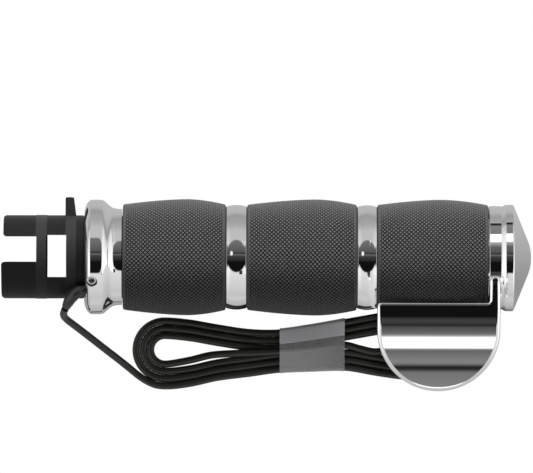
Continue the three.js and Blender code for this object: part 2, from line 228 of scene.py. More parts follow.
def rounded_outline(corners, steps=5):
    """A closed outline from (x, y, corner radius) points."""
    outline = []
    count = len(corners)
    for i, (x, y, radius) in enumerate(corners):
        here = Vector((x, y))
        if radius == 0:
            outline.append((x, y))
            continue
        before = (Vector(corners[i - 1][:2]) - here).normalized()
        after = (Vector(corners[(i + 1) % count][:2]) - here).normalized()
        half = before.angle(after) / 2
        middle = here + (before + after).normalized() * radius / math.sin(half)
        start = here + before * radius / math.tan(half) - middle
        sweep = start.angle_signed(here + after * radius / math.tan(half) - middle)
        for j in range(steps + 1):
            spoke = start.copy()
            spoke.rotate(Matrix.Rotation(-sweep * j / steps, 2))
            outline.append(tuple(middle + spoke))
    return outline


def about_axis(shell, angle):
    """The shell turned about the grip axis, from +Z towards -Y."""
    turn = Matrix.Rotation(angle, 4, "X")
    vertices, faces = shell
    return [turn @ Vector(v) for v in vertices], faces


def apply_modifiers(piece):
    graph = bpy.context.evaluated_depsgraph_get()
    mesh = bpy.data.meshes.new_from_object(piece.evaluated_get(graph))
    old = piece.data
    piece.modifiers.clear()
    piece.data = mesh
    bpy.data.meshes.remove(old)


def combine(piece, shell, operation, sharp_angle=40):
    """Takes a shell away from a piece, joins it on, or keeps only what both fill."""
    tool = add_object(piece.name + "_tool", shell)
    modifier = piece.modifiers.new("combine", "BOOLEAN")
    modifier.operation = operation
    modifier.solver = "EXACT"
    modifier.object = tool
    apply_modifiers(piece)
    bpy.data.objects.remove(tool)
    finish_shading(piece, sharp_angle)


def cut(piece, shell, sharp_angle=40):
    combine(piece, shell, "DIFFERENCE", sharp_angle)


def bevel(piece, width, segments):
    modifier = piece.modifiers.new("bevel", "BEVEL")
    modifier.width = width * MM
    modifier.segments = segments
    modifier.limit_method = "ANGLE"
    modifier.angle_limit = math.radians(30)
    apply_modifiers(piece)
    finish_shading(piece, 40)


# -------- the lead

LEAD_RADIUS = 1.25
LEAD_ROUTE = [
    (-6.3, -17.55, 7), (-6.85, -18.75, 4.9), (-6.95, -19.9, 2.6), (-6.1, -21.1, 0.3),
    (-4.3, -22.6, -2.2), (-1.6, -24.7, -5.4), (2.2, -27.7, -9.2), (6.6, -31.2, -12.8),
    (11.2, -34.8, -15.9), (15.3, -38.1, -17.8), (17.6, -40, -18.4),
]
LANE_Z = FLOOR_Z + LEAD_RADIUS
LEFT_TURN = {"x": 27.3, "y": -31.7, "inner": 4.9}
RIGHT_TURN = {"x": 121, "y": -29.5, "inner": 6.7}
LAPS = 3
TURN_GAP = 2.5
CONNECTOR_Y = -29.6
CONNECTOR_Z = FLOOR_Z + 2.7

# Where the side-by-side runs lie: along, the lowest run and the highest run.
RUN_STATIONS = [
    (36, -43.15, -22.6), (45, -41.15, -24.15), (56.3, -39.65, -25.75), (66.5, -38.25, -25.85),
    (77, -37.75, -24.35), (88.7, -37.5, -22.25), (99, -39.15, -20.4), (107, -40.3, -19),
]
# The last run climbs onto the lower ones and comes down into the connector's seal.
LAST_RUN = [
    (36, -35.2, LANE_Z + 0.3), (43, -33.5, LANE_Z + 0.3), (50, -32.95, LANE_Z + 0.8),
    (56.3, -32.7, LANE_Z + 1.75), (66.5, -32.05, LANE_Z + 2.3), (77, -31.1, LANE_Z + 2),
    (83, -30.5, LANE_Z + 1.5), (88.7, -29.9, LANE_Z + 0.5), (94, -31.2, LANE_Z + 1.5),
    (99, -32.2, LANE_Z + 2), (103, -31.5, LANE_Z + 1.8), (106.5, -29.9, LANE_Z + 1.5),
    (109.6, CONNECTOR_Y, CONNECTOR_Z),
]


def loop_points(turn, radius, start, end, steps):
    """Points round an end loop of the hank."""
    return [(turn["x"] + a, turn["y"] + b, LANE_Z) for a, b in arc(radius, start, end, steps)]


def hank_route():
    """Laps that lie each inside the one before, then the last run to the connector."""
    route = loop_points(LEFT_TURN, LEFT_TURN["inner"] + LAPS * TURN_GAP, 234, 275, 2)
    for lap in range(LAPS):
        inward = (LAPS - 1 - lap) * TURN_GAP
        route += [(x, low + lap * TURN_GAP, LANE_Z) for x, low, _ in RUN_STATIONS]
        route += loop_points(RIGHT_TURN, RIGHT_TURN["inner"] + inward, -97, 97, 9)
        route += [(x, high - lap * TURN_GAP, LANE_Z) for x, _, high in reversed(RUN_STATIONS)]
        route += loop_points(LEFT_TURN, LEFT_TURN["inner"] + inward, 82, 274, 9)
    return route + LAST_RUN


def make_lead():
    line = smooth_line(LEAD_ROUTE + hank_route(), 1.1)
    lead = add_object("lead", swept_shell(line, lambda i: circle(LEAD_RADIUS, 14)), 60)
    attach(lead, GRIP)
    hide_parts("heater_lead", "lead_hank")
    return lead, line


lead, lead_line = make_lead()


def convex_outline(points):
    """The convex hull of flat points."""
    points = sorted(set(points))

    def half(ordered):
        chain = []
        for p in ordered:
            while len(chain) > 1:
                (ax, ay), (bx, by) = chain[-2], chain[-1]
                if (bx - ax) * (p[1] - ay) - (by - ay) * (p[0] - ax) > 0:
                    break
                chain.pop()
            chain.append(p)
        return chain[:-1]

    return half(points) + half(points[::-1])


def even_outline(outline, count):
    """The outline again with evenly spaced points."""
    closed = outline + outline[:1]
    lengths = [math.dist(a, b) for a, b in zip(closed, closed[1:])]
    result, walked, edge = [], 0.0, 0
    for i in range(count):
        target = sum(lengths) * i / count
        while walked + lengths[edge] < target:
            walked += lengths[edge]
            edge += 1
        share = (target - walked) / lengths[edge]
        (ax, ay), (bx, by) = closed[edge], closed[edge + 1]
        result.append((ax + (bx - ax) * share, ay + (by - ay) * share))
    return result


BAND_THICK = 0.16
BAND_POINTS = 96  # round the runs, from their -Y side and first along the floor
BAND_LAP = (45, 65)  # the points that the tie's end covers a second time
BAND_SLACK = 0.03  # between the runs and the tie


def band_row(x, grow):
    """The tie's outline across the runs at a place along the hank."""
    reach = LEAD_RADIUS + BAND_SLACK + grow
    points = []
    for a, b in zip(lead_line, lead_line[1:]):
        if (a.x - x) * (b.x - x) <= 0 and a.x != b.x:
            run = a.lerp(b, (x - a.x) / (b.x - a.x))
            points += [(round(run.y + dy, 5), round(run.z + dz, 5)) for dy, dz in circle(reach, 24)]
    lowest = FLOOR_Z + max(0, BAND_THICK - grow)
    return [(x, y, max(z, lowest)) for y, z in even_outline(convex_outline(points), BAND_POINTS)]


def band_layer(places, inner, picked):
    """One thickness of the tie, all round the runs or over the picked stretch of the way round."""
    rows = [band_row(x, inner + BAND_THICK) for x in places]
    rows += [band_row(x, inner) for x in reversed(places)]
    rows = [row[picked] for row in rows]
    around, deep = len(rows[0]), len(rows)
    whole = around == BAND_POINTS
    faces = []
    for i in range(deep):
        base, following = i * around, (i + 1) % deep * around
        faces += [(base + j, base + (j + 1) % around, following + (j + 1) % around, following + j)
                  for j in range(around if whole else around - 1)]
    if not whole:
        for j in (0, around - 1):
            faces += [tuple(row * around + j for row in (i, i + 1, deep - 2 - i, deep - 1 - i))
                      for i in range(deep // 2 - 1)]
    return [v for row in rows for v in row], faces


def make_band():
    """A clear tie pulled tight round the runs, its end lapped over the far edge."""
    first, last = span("hank_band")
    places = [first + (last - first) * s / 14 for s in range(15)]
    band = add_object("tie_band", band_layer(places, 0, slice(None)), 50)
    lap = add_object("tie_lap", band_layer(places, BAND_THICK + 0.02, slice(*BAND_LAP)), 50)
    for piece in (band, lap):
        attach(piece, GRIP)
    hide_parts("hank_band")
    return band, lap


band, band_lap = make_band()


# -------- connector

def make_connector():
    """The plug on the lead's end: a ribbed seal and a housing with a latch and two finger ribs."""
    seal_low, seal_high = (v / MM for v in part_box("connector_seal"))
    low, high = (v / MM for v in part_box("connector_housing"))
    middle_y, middle_z = (low.y + high.y) / 2, (low.z + high.z) / 2
    cavities = []
    for side in (-1, 1):
        y = middle_y + side * 1.6
        cavities.append(block_shell((seal_low.x - 1, y - 0.9, middle_z - 0.9),
                                    (high.x + 1, y + 0.9, middle_z + 0.9)))

    seal = add_object("plug_seal", block_shell(seal_low, seal_high))
    bevel(seal, 0.7, 4)
    for groove in (0.45, 1.35, 2.25):
        first = seal_low.x + groove
        last = first + 0.4
        for side, face in ((-1, seal_low.y), (1, seal_high.y)):
            edges = sorted((face - side * 0.25, face + side))
            cut(seal, block_shell((first, edges[0], seal_low.z - 1), (last, edges[1], seal_high.z + 1)))
        cut(seal, block_shell((first, seal_low.y - 1, seal_high.z - 0.25),
                              (last, seal_high.y + 1, seal_high.z + 1)))

    housing = add_object("plug_housing", block_shell(low, (high.x, high.y, high.z - 0.9)))
    bevel(housing, 0.45, 3)
    latch = block_shell((low.x + 3.2, middle_y - 1.2, high.z - 1.4), (high.x - 1.2, middle_y + 1.2, high.z))
    combine(housing, latch, "UNION")
    for place in (1, 2):
        rib = block_shell((low.x + place, low.y + 0.3, high.z - 1.4),
                          (low.x + place + 0.5, high.y - 0.3, high.z - 0.45))
        combine(housing, rib, "UNION")
    for cavity in cavities:
        cut(seal, cavity)
        cut(housing, cavity)
    for piece, node, slot in ((seal, "connector_seal", "seal_rubber"),
                              (housing, "connector_housing", "connector_plastic")):
        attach(piece, GRIP)
        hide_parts(node)
    return [seal, housing]


plug_pieces = make_connector()


# -------- lead boot

BOOT_ROUTE = [(3.5, -11.2, 11.2), (0, -11.25, 11.25), (-2, -12, 11.9), (-4.4, -14.2, 10.9), (-6.1, -17, 7.9)]
BOOT_RADII = [1.55, 1.7, 1.9, 1.85, 1.5]


def make_boot():
    """The moulded strain relief that bends the lead down off the collar."""
    line = smooth_line(BOOT_ROUTE, 0.25)
    count = len(line) - 1

    def section(i):
        place = i / count * (len(BOOT_RADII) - 1)
        before = min(int(place), len(BOOT_RADII) - 2)
        share = place - before
        ease = share * share * (3 - 2 * share)
        radius = BOOT_RADII[before] + (BOOT_RADII[before + 1] - BOOT_RADII[before]) * ease
        tip = min(1, math.sqrt(max(0, (count - i) / 3 + 0.35)))
        return circle(radius * tip, 40)

    boot = add_object("boot", swept_shell(line, section))
    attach(boot, GRIP)
    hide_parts("lead_boot")
    return boot


boot = make_boot()


# -------- rubber sections

KNURLS_AROUND = 80
KNURL_PITCH = 1.5  # along the axis
KNURL_DEPTH = 0.45
KNURL_TOP = 0.4  # share of a diamond that its flat top takes
KNURL_BORDER = 1.0  # smooth band at each end
COVER_BORE = 15.9
RUBBER_PEAK = outer_radius("rubber_middle")
RUBBER_END = 17.9
RUBBER_CORNER = 0.9


def knurled_rubber(name, node, peak_share):
    """A barrel with a diamond knurl: grooves cross at lattice points and leave flat-topped diamonds."""
    first, last = span(node)
    length = last - first
    rows = 2 * round((length - 2 * KNURL_BORDER) / KNURL_PITCH)
    start = first + KNURL_BORDER
    step = (length - 2 * KNURL_BORDER) / rows
    columns = 2 * KNURLS_AROUND
    turn = 2 * math.pi / columns
    vertices, faces = [], []

    def radius_at(x):
        share = min(1, max(0, (x - first) / length))
        if share < peak_share:
            away = ((peak_share - share) / peak_share) ** 1.6
        else:
            away = ((share - peak_share) / (1 - peak_share)) ** 1.8
        return RUBBER_PEAK - (RUBBER_PEAK - RUBBER_END) * away

    def add(i, j, drop=0.0):
        x = start + i * step
        vertices.append(around_axis(x, radius_at(x) - drop, j * turn))
        return len(vertices) - 1

    crossings = {(i, j): add(i, j, KNURL_DEPTH) for i in range(rows + 1) for j in range(i % 2, columns, 2)}
    edges = {0: [], rows: []}
    for i in range(rows + 1):
        for j in range((i + 1) % 2, columns, 2):
            around = [(i - 1, j), (i, j - 1), (i + 1, j), (i, j + 1)]
            corners = [(row, column) for row, column in around if 0 <= row <= rows]
            feet = [crossings[row, column % columns] for row, column in corners]
            tops = [add(i + (row - i) * KNURL_TOP, j + (column - j) * KNURL_TOP) for row, column in corners]
            faces.append(tops)
            for k in range(len(corners)):
                m = (k + 1) % len(corners)
                on_edge = len(corners) == 3 and corners[k][0] == corners[m][0] == i
                if not on_edge:
                    faces.append((feet[k], feet[m], tops[m], tops[k]))
            if i in edges:
                low = corners.index((i, j - 1))
                high = corners.index((i, j + 1))
                edges[i] += [(j - 1, add(i, j - 1)), (j - KNURL_TOP, tops[low]), (j + KNURL_TOP, tops[high])]

    for i, edge in edges.items():
        for k in range(0, len(edge), 3):
            column, lip = edge[k]
            foot = crossings[i, column % columns]
            faces.append((lip, foot, edge[k + 1][1]))
            faces.append((edge[k - 1][1], foot, lip))

    def borders(edge, x_end, outward):
        """Rings from the knurl's edge over a rounded corner to the bore."""
        x_corner = x_end - outward * RUBBER_CORNER
        radius = radius_at(x_corner)
        profile = [(x_corner, radius)]
        profile += corner_arc(x_corner, radius, RUBBER_CORNER, outward, 5)
        profile.append((x_end, COVER_BORE))
        ring = [index for _, index in edge]
        for x, ring_radius in profile:
            following = []
            for column, _ in edge:
                vertices.append(around_axis(x, ring_radius, column * turn))
                following.append(len(vertices) - 1)
            bridge(ring, following)
            ring = following
        return ring

    def bridge(ring, following):
        for k in range(len(ring)):
            faces.append((ring[k - 1], ring[k], following[k], following[k - 1]))

    bridge(borders(edges[0], first, -1), borders(edges[rows], last, 1))
    piece = add_object(name, (vertices, faces), 25)
    # the groove attribute carries painted shade for the rubber: 1 deep in the grooves and on the smooth end
    # bands, 0 on the tops
    grooves = piece.data.attributes.new("groove", "FLOAT", "POINT")
    for vertex, groove in zip(piece.data.vertices, grooves.data):
        x, y, z = vertex.co / MM
        depth = (radius_at(x) - math.hypot(y, z)) / KNURL_DEPTH
        in_border = min(x - first, last - x) < KNURL_BORDER - 0.05
        groove.value = 1 if in_border else min(1, max(0, depth))
    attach(piece, GRIP)
    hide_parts(node)
    return piece


rubbers = [
    knurled_rubber("cover_inboard", "rubber_inboard", 0.62),
    knurled_rubber("cover_middle", "rubber_middle", 0.62),
    knurled_rubber("cover_outboard", "rubber_outboard", 0.57),
]


# -------- chrome rings

RING_EDGE = 17.35
RING_CROWN = outer_radius("ring_inboard")
RING_CORNER = 0.5
RING_PRESS = 0.1  # into the rubber, at each side


def chrome_ring(name, node):
    """A crowned band with rounded corners, pressed up against the rubber."""
    first, last = span(node)
    middle, reach = (first + last) / 2, (last - first) / 2 + RING_PRESS
    inner = reach - RING_CORNER
    half = [(inner * k / 12, RING_CROWN - (RING_CROWN - RING_EDGE) * (k / 12) ** 2) for k in range(13)]
    half += corner_arc(inner, RING_EDGE, RING_CORNER, 1, 6)
    half.append((reach, COVER_BORE))
    profile = [(middle - along, radius) for along, radius in reversed(half)]
    profile += [(middle + along, radius) for along, radius in half[1:]]
    piece = turned(name, profile)
    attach(piece, GRIP)
    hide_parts(node)
    return piece


rings = [chrome_ring("band_inboard", "ring_inboard"), chrome_ring("band_outboard", "ring_outboard")]


# -------- collar and screws

COLLAR_BORE = 14.25
COLLAR_RIM = 19.45
COLLAR_WAIST = 16.33
LEAD_ANGLE = math.radians(45)
SCREW_DROP = math.radians(25.5)
SCREW_ALONG = 2.75
SCREW_RADIUS = 1.75


def smooth_profile(points, step=0.2):
    return [(p.x, p.y) for p in smooth_line([(x, r, 0) for x, r in points], step)]


def upright_rod(x, radius, low, high, sides):
    """A rod that stands on +Z at a place along the grip."""
    return prism_shell([(x + a, b) for a, b in circle(radius, sides)], low, high)


def make_collar():
    """The flared collar: a rim, a hollow waist, a slot for the lead and two screw holes."""
    rim = smooth_profile([(0.05, 15.3), (0.2, 16.3), (0.5, 17.3), (0.95, 18.2), (1.5, 18.9),
                          (2.2, COLLAR_RIM)], 0.15)
    cove = smooth_profile([(5.5, COLLAR_RIM), (6.3, 19.28), (7, 18.85), (7.75, 18.2), (8.45, 17.55),
                           (9.1, 17.05), (9.75, 16.72), (10.4, 16.54), (11.2, 16.4), (12.1, COLLAR_WAIST)])
    length = span("inboard_collar")[1]
    profile = [(0, COLLAR_BORE), (0, 14.9), *rim, (3, COLLAR_RIM), (4.4, COLLAR_RIM), *cove,
               (length, COLLAR_WAIST), (length, COLLAR_BORE)]
    collar = turned("collar", profile, 192, 35)
    mouth = about_axis(block_shell((-1, -1.8, 0), (4, 1.8, 17.7)), LEAD_ANGLE)
    passage = about_axis(block_shell((-0.5, -1.8, 0), (length + 1, 1.8, 15.2)), LEAD_ANGLE)
    cut(collar, mouth, 35)
    cut(collar, passage, 35)
    for half_turn in (0, math.pi):
        hole = about_axis(upright_rod(SCREW_ALONG, SCREW_RADIUS + 0.2, 14, 21, 48), SCREW_DROP + half_turn)
        cut(collar, hole, 35)
    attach(collar, GRIP)
    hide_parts("inboard_collar")
    return collar


def make_screw(name, node, half_turn):
    """A cup-ended set screw with a hexagon socket."""
    profile = [(-14.4, 0), (-14.4, 1.2), (-14.9, SCREW_RADIUS), (-18.2, SCREW_RADIUS),
               (-18.5, SCREW_RADIUS - 0.3), (-18.5, 0)]
    vertices, faces = turned_shell(profile, 48)
    upright = [(SCREW_ALONG + z, y, -x) for x, y, z in vertices]
    screw = add_object(name, (upright, faces))
    cut(screw, upright_rod(SCREW_ALONG, 1.12, 16.6, 20, 6))
    screw.data.transform(Matrix.Rotation(SCREW_DROP + half_turn, 4, "X"))
    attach(screw, GRIP)
    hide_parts(node)
    return screw


collar = make_collar()
screws = [
    make_screw("screw_front", "collar_set_screw_1", 0),
    make_screw("screw_back", "collar_set_screw_2", math.pi),
]


# -------- end cap

def cap_profile():
    """Spigot with two ring grooves, neck, rim and blunt cone."""
    low, tip = span("end_cap")
    shoulder, spigot, bore = 137.4, 13.6, 11
    tip_radius = 15.7
    tip_reach = 22.5  # degrees from the axis to where the cone starts
    corners = [(shoulder, 0, 0), (shoulder, bore, 0), (low, bore, 0), (low, spigot, 0.2)]
    for at in (131.6, 134.8):
        corners += [(at - 0.9, spigot, 0), (at - 0.9, 12.4, 0), (at + 0.9, 12.4, 0), (at + 0.9, spigot, 0)]
    corners += [(shoulder, spigot, 0), (shoulder, 17.6, 0.3), (141.5, 17.6, 0.12), (141.8, 17.42, 0.12),
                (143.1, 18.08, 0.3), (145.8, 18.08, 0.7)]
    corners += [(tip - tip_radius + a, b, 0) for a, b in arc(tip_radius, tip_reach, 0, 12)]
    return rounded_outline(corners, 6)


cap = turned("cap", cap_profile(), 256, 30)
cap.modifiers.new("flat_lands", "WEIGHTED_NORMAL").keep_sharp = True  # broad faces shade as true cylinders
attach(cap, GRIP)
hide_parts("end_cap")


# -------- paddle and clip

PADDLE_LEFT, PADDLE_RIGHT = span("throttle_boss")
ARM_LEFT = 137.5
PADDLE_TOP = -15.1
PADDLE_ROUND_Y = -24.5
PADDLE_THICK = 1.8
BOW_RADIUS = 54.2
BOW_CENTRE = (-7.56, -39.07)
ARM_JOIN = -17.5  # where the bow passes into the arm
ARM_CURVE = 0.0042
RIM_WIDTH = 1.3  # of the rounded shoulder round the outer face
RIM_DEPTH = 0.95


def sheet_height(y):
    """Height of the sheet's outer face, and its slope, on the arm or on the bowed paddle."""
    reach = BOW_RADIUS + PADDLE_THICK / 2
    across = max(-y, -ARM_JOIN) + BOW_CENTRE[0]
    height = BOW_CENTRE[1] + math.sqrt(reach ** 2 - across ** 2)
    slope = across / (height - BOW_CENTRE[1])
    if y > ARM_JOIN:
        run = y - ARM_JOIN
        height += slope * run + ARM_CURVE * run ** 2
        slope += 2 * ARM_CURVE * run
    return height, slope


def paddle_outline(inset):
    """The flat plate's outline, drawn in by an amount."""
    left, right, top = PADDLE_LEFT + inset, PADDLE_RIGHT - inset, PADDLE_TOP - inset
    arm_left, arm_top = ARM_LEFT + inset, -6.2 - inset
    arm_radius = (right - arm_left) / 2 - 0.02
    corners = [
        (right, PADDLE_ROUND_Y, 0),
        (right, arm_top, arm_radius),
        (arm_left, arm_top, arm_radius),
        (arm_left, top, 0.8 + inset),
        (left, top, 1.6 - inset),
        (left, PADDLE_ROUND_Y, 0),
    ]
    outline = rounded_outline(corners, 8)
    middle, reach = (left + right) / 2, (right - left) / 2
    return outline + [(middle + a, PADDLE_ROUND_Y + b) for a, b in arc(reach, 180, 360, 64)[1:-1]]


def make_paddle():
    """The bowed sheet with its arm: a flat plate with a rounded shoulder, bent to shape."""
    levels = [(0.35, -PADDLE_THICK), (0.1, 0.12 - PADDLE_THICK), (0, 0.4 - PADDLE_THICK)]
    levels += [(RIM_WIDTH * (1 - a), -RIM_DEPTH * (1 - b)) for a, b in arc(1, 0, 90, 8)]
    levels.append((RIM_WIDTH + 0.1, 0))
    vertices = []
    for inset, height in levels:
        outline = paddle_outline(inset)
        vertices += [(x, y, height) for x, y in outline]
    plate = add_object("paddle", (vertices, tube_faces(len(levels), len(outline))))

    shell = bmesh.new()
    shell.from_mesh(plate.data)
    cuts = [((0, -y * MM, 0), (0, 1, 0)) for y in [6.5 + 0.6 * k for k in range(66)]]
    cuts += [((x * MM, 0, 0), (1, 0, 0)) for x in [101 + 3 * k for k in range(13)] + [138.6, 140]]
    for place, direction in cuts:
        geometry = shell.verts[:] + shell.edges[:] + shell.faces[:]
        bmesh.ops.bisect_plane(shell, geom=geometry, plane_co=place, plane_no=direction, dist=1e-6)
    for vertex in shell.verts:
        x, y, depth = vertex.co / MM
        height, slope = sheet_height(y)
        stretch = 0.9 * math.sqrt(1 + slope ** 2)
        vertex.co = Vector((x, y, height + depth * stretch)) * MM
    shell.to_mesh(plate.data)
    shell.free()
    finish_shading(plate, 50)
    return plate


def make_clip():
    """The open ring that turns on the cap's neck."""
    inner, outer = 17.9, 18.9
    start, end = math.radians(24), math.radians(250)
    steps = 180
    half_width = (PADDLE_RIGHT - ARM_LEFT) / 2
    middle_x = (PADDLE_RIGHT + ARM_LEFT) / 2
    vertices = []
    for i in range(steps + 1):
        angle = start + (end - start) * i / steps
        near_end = min(i, steps - i) / steps * (end - start) * (inner + outer) / 2
        width = half_width
        if near_end < half_width and i > steps / 2:
            width = math.sqrt(max(0.02, half_width ** 2 - (half_width - near_end) ** 2))
        corner = min(0.3, width / 3)
        section = rounded_outline([(middle_x - width, inner, corner), (middle_x + width, inner, corner),
                                   (middle_x + width, outer, corner), (middle_x - width, outer, corner)], 4)
        vertices.extend(around_axis(x, radius, angle) for x, radius in section)
    return vertices, tube_faces(steps + 1, len(section))


paddle = make_paddle()
clip = add_object("paddle_clip", make_clip())
for piece in (paddle, clip):
    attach(piece, BOSS)
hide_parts("throttle_boss")


# -------- throttle sleeve

SLEEVE_RIB = (-16.3, -12.6)
SLEEVE_FLANGE = (-6.2, -2.7)


def make_sleeve():
    """The throttle tube: a forked end, a window, a rib, a flange and a stop tab."""
    bare, covered, raised, bore = 14.15, 13.9, 14.25, 12.9
    low, high = span("throttle_sleeve")
    corners = [(low, bore, 0), (low, bare, 0.35)]
    for first, last in (SLEEVE_RIB, SLEEVE_FLANGE):
        corners += [(first, bare, 0), (first, raised, 0), (last, raised, 0), (last, bare, 0)]
    corners += [(-0.3, bare, 0), (-0.3, covered, 0), (high, covered, 0), (high, bore, 0)]
    sleeve = turned("sleeve", rounded_outline(corners), 128)
    reach = 16
    plan = rounded_outline([
        (high + 1, -reach, 0), (high + 1, reach, 0), (-18, reach, 0), (-18, bare, 0),
        (-27.3, bare, 1.1), (-27.3, 6.9, 1.1), (-16.1, 6.9, 0), (-16.1, -1.7, 0),
        (low - 0.01, -1.7, 1.1), (low - 0.01, -bare, 1.4), (-18, -bare, 0), (-18, -reach, 0),
    ])
    combine(sleeve, prism_shell(plan, -20, 20), "INTERSECT")
    window = prism_shell([(-12.8, -6.9), (-6, -6.9), (-6, 7.4), (-12.8, 7.4)], -20, 20)
    cut(sleeve, window)
    tab = prism_shell(rounded_outline([(-6.4, 13.3, 0), (-2.7, 13.3, 0), (-3.6, 20.3, 0.6),
                                       (-6.4, 20.3, 0.6)]), -3, 3)
    combine(sleeve, tab, "UNION")
    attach(sleeve, GRIP)
    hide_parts("throttle_sleeve")
    return sleeve


sleeve = make_sleeve()


# -------- node tools

class Tree:
    """Short calls that build a node tree."""

    def __init__(self, tree):
        self.tree = tree
        tree.nodes.clear()

    def add(self, kind, inputs=None, **settings):
        new = self.tree.nodes.new("ShaderNode" + kind)
        for key, value in settings.items():
            setattr(new, key, value)
        for key, value in (inputs or {}).items():
            socket = new.inputs[key]
            if isinstance(value, bpy.types.NodeSocket):
                self.tree.links.new(value, socket)
            else:
                socket.default_value = value
        return new

    def math(self, operation, *values):
        return self.add("Math", dict(enumerate(values)), operation=operation).outputs[0]

    def ramp(self, factor, stops):
        """Grey values or colours between (place, value) stops."""
        new = self.add("ValToRGB", {0: factor})
        ramp = new.color_ramp
        while len(ramp.elements) < len(stops):
            ramp.elements.new(0.5)
        for element, (place, value) in zip(ramp.elements, stops):
            element.position = place
            element.color = (*value, 1) if isinstance(value, tuple) else (value, value, value, 1)
        return new.outputs[0]

    def blend(self, factor, first, second):
        """A colour between two, by a 0 to 1 value."""
        return self.ramp(factor, [(0.0, first), (1.0, second)])

    def mix(self, factor, first, second, **settings):
        return self.add("MixRGB", {0: factor, 1: first, 2: second}, **settings).outputs[0]

    def noise(self, vector, scale, detail=3, roughness=0.5):
        inputs = {"Vector": vector, "Scale": scale, "Detail": detail, "Roughness": roughness}
        return self.add("TexNoise", inputs).outputs[0]

    def scaled(self, vector, amounts):
        return self.add("Mapping", {"Vector": vector, "Scale": amounts}).outputs[0]

    def place(self):
        return self.add("TexCoord").outputs["Object"]

    def axes(self, vector):
        return self.add("SeparateXYZ", {0: vector}).outputs

    def span(self, value, low, high, first=0.0, last=1.0):
        """A value spread from low to high as the given one goes from first to last."""
        inputs = {"Value": value, "From Min": first, "From Max": last, "To Min": low, "To Max": high}
        return self.add("MapRange", inputs).outputs[0]

    def bump(self, height, distance, strength=1.0):
        inputs = {"Height": height, "Distance": distance, "Strength": strength}
        return self.add("Bump", inputs).outputs[0]

    def glow(self, colour, strength=1.0):
        return self.add("Emission", {"Color": colour, "Strength": strength}).outputs[0]

    def surface(self, shader, kind="Material"):
        self.add("Output" + kind, {"Surface": shader})

    def principled(self, inputs):
        self.surface(self.add("BsdfPrincipled", inputs).outputs[0])


def new_material(name):
    material = bpy.data.materials.new(name)
    material.use_nodes = True
    return material, Tree(material.node_tree)


def table_place(value):
    """A ramp place for a distance from -400 to 400 mm."""
    return value / 800 + 0.5


# -------- materials

def chrome_material(name, tint, scratches):
    """Polished plate: faint wiping marks and a trace of haze."""
    material, tree = new_material(name)
    place = tree.place()
    haze = tree.noise(place, 160, 4)
    marks = tree.noise(tree.scaled(place, (1800, 240, 240)), 1, 2)
    wear = tree.math("MULTIPLY", haze, marks)
    tree.principled({
        "Base Color": tree.blend(haze, tuple(0.97 * c for c in tint), tint),
        "Metallic": 1.0,
        "Roughness": tree.span(wear, 0.02, scratches),
    })
    return material


def rubber_material():
    """Soft black rubber, grey on the tops of the knurl, with painted shade that darkens its grooves; the
    smooth end bands take the dark colour too.
    """
    material, tree = new_material("grip_rubber")
    place = tree.place()
    patches = tree.noise(place, 90, 4)
    grain = tree.noise(place, 5200, 3, 0.6)
    groove = tree.add("Attribute", attribute_name="groove").outputs["Fac"]
    shade = tree.math("MULTIPLY_ADD", grain, 0.3, tree.math("MULTIPLY", patches, 0.7))
    tops = tree.blend(shade, (0.05, 0.051, 0.052), (0.074, 0.075, 0.076))
    # painted shade: the colour darkens from the knurl's tops into its grooves, by the groove attribute
    painted_groove_shade = tree.ramp(groove, [(0.0, 0.0), (0.12, 0.25), (0.7, 1.0)])
    tree.principled({
        "Base Color": tree.mix(painted_groove_shade, tops, (0.031, 0.031, 0.032, 1)),
        "Roughness": tree.span(patches, 0.5, 0.66),
        "Specular IOR Level": 0.3,
        "Normal": tree.bump(grain, 0.00006, 0.5),
    })
    return material


def nylon_material(name, dark, light, rough, shine, pale_zones=()):
    """Moulded black nylon with a fine spark texture, paler in the given stretches along the axis."""
    material, tree = new_material(name)
    place = tree.place()
    clouds = tree.noise(place, 140, 3)
    grain = tree.noise(place, 3400, 4, 0.65)
    colour = tree.blend(clouds, dark, light)
    if pale_zones:
        stops = []
        for first, last in pale_zones:
            stops += [(first - 0.2, 0.0), (first + 0.1, 1.0), (last - 0.1, 1.0), (last + 0.2, 0.0)]
        along = tree.math("MULTIPLY_ADD", tree.axes(place)[0], 1 / 0.05, 0.6)
        paler = tree.ramp(along, [(x / 50 + 0.6, value) for x, value in stops])
        colour = tree.mix(paler, colour, (0.0145, 0.0145, 0.015, 1))
    tree.principled({
        "Base Color": colour,
        "Roughness": tree.span(tree.math("MULTIPLY", grain, clouds), *rough),
        "Specular IOR Level": shine,
        "Normal": tree.bump(grain, 0.00005, 0.35),
    })
    return material


def moulded_material(name, clouds, dark, light, rough, grain, relief):
    """Moulded rubber or vinyl, by its clouds' scale and detail, its grain's scale by axis and detail,
    and its relief's depth in metres and strength.
    """
    material, tree = new_material(name)
    place = tree.place()
    smears = tree.noise(place, *clouds)
    scale, detail = grain
    tree.principled({
        "Base Color": tree.blend(smears, dark, light),
        "Roughness": tree.span(smears, *rough),
        "Normal": tree.bump(tree.noise(tree.scaled(place, scale), 1, detail), *relief),
    })
    return material


def clear_material(name, grey, cloudiness):
    """Clear vinyl tie: see-through, with a cloudy stretch grain."""
    material, tree = new_material(name)
    place = tree.place()
    cloud = tree.noise(tree.scaled(place, (90, 700, 700)), 1, 4)
    wrinkles = tree.noise(tree.scaled(place, (160, 1500, 1500)), 1, 3)
    tree.principled({
        "Base Color": (grey, 1.01 * grey, 1.03 * grey, 1),
        "Roughness": tree.span(cloud, 0.18, 0.4),
        "Alpha": cloudiness,
        "Normal": tree.bump(wrinkles, 0.0001, 0.4),
    })
    return material


def metal_material(name, dark, light, rough, turning):
    """Machined or drawn metal with turning marks round the axis."""
    material, tree = new_material(name)
    place = tree.place()
    marks = tree.noise(tree.scaled(place, (turning, 60, 60)), 1, 3)
    tree.principled({
        "Base Color": tree.blend(marks, dark, light),
        "Metallic": 1.0,
        "Roughness": tree.span(marks, rough - 0.06, rough + 0.12),
        "Normal": tree.bump(marks, 0.00002, 0.4),
    })
    return material


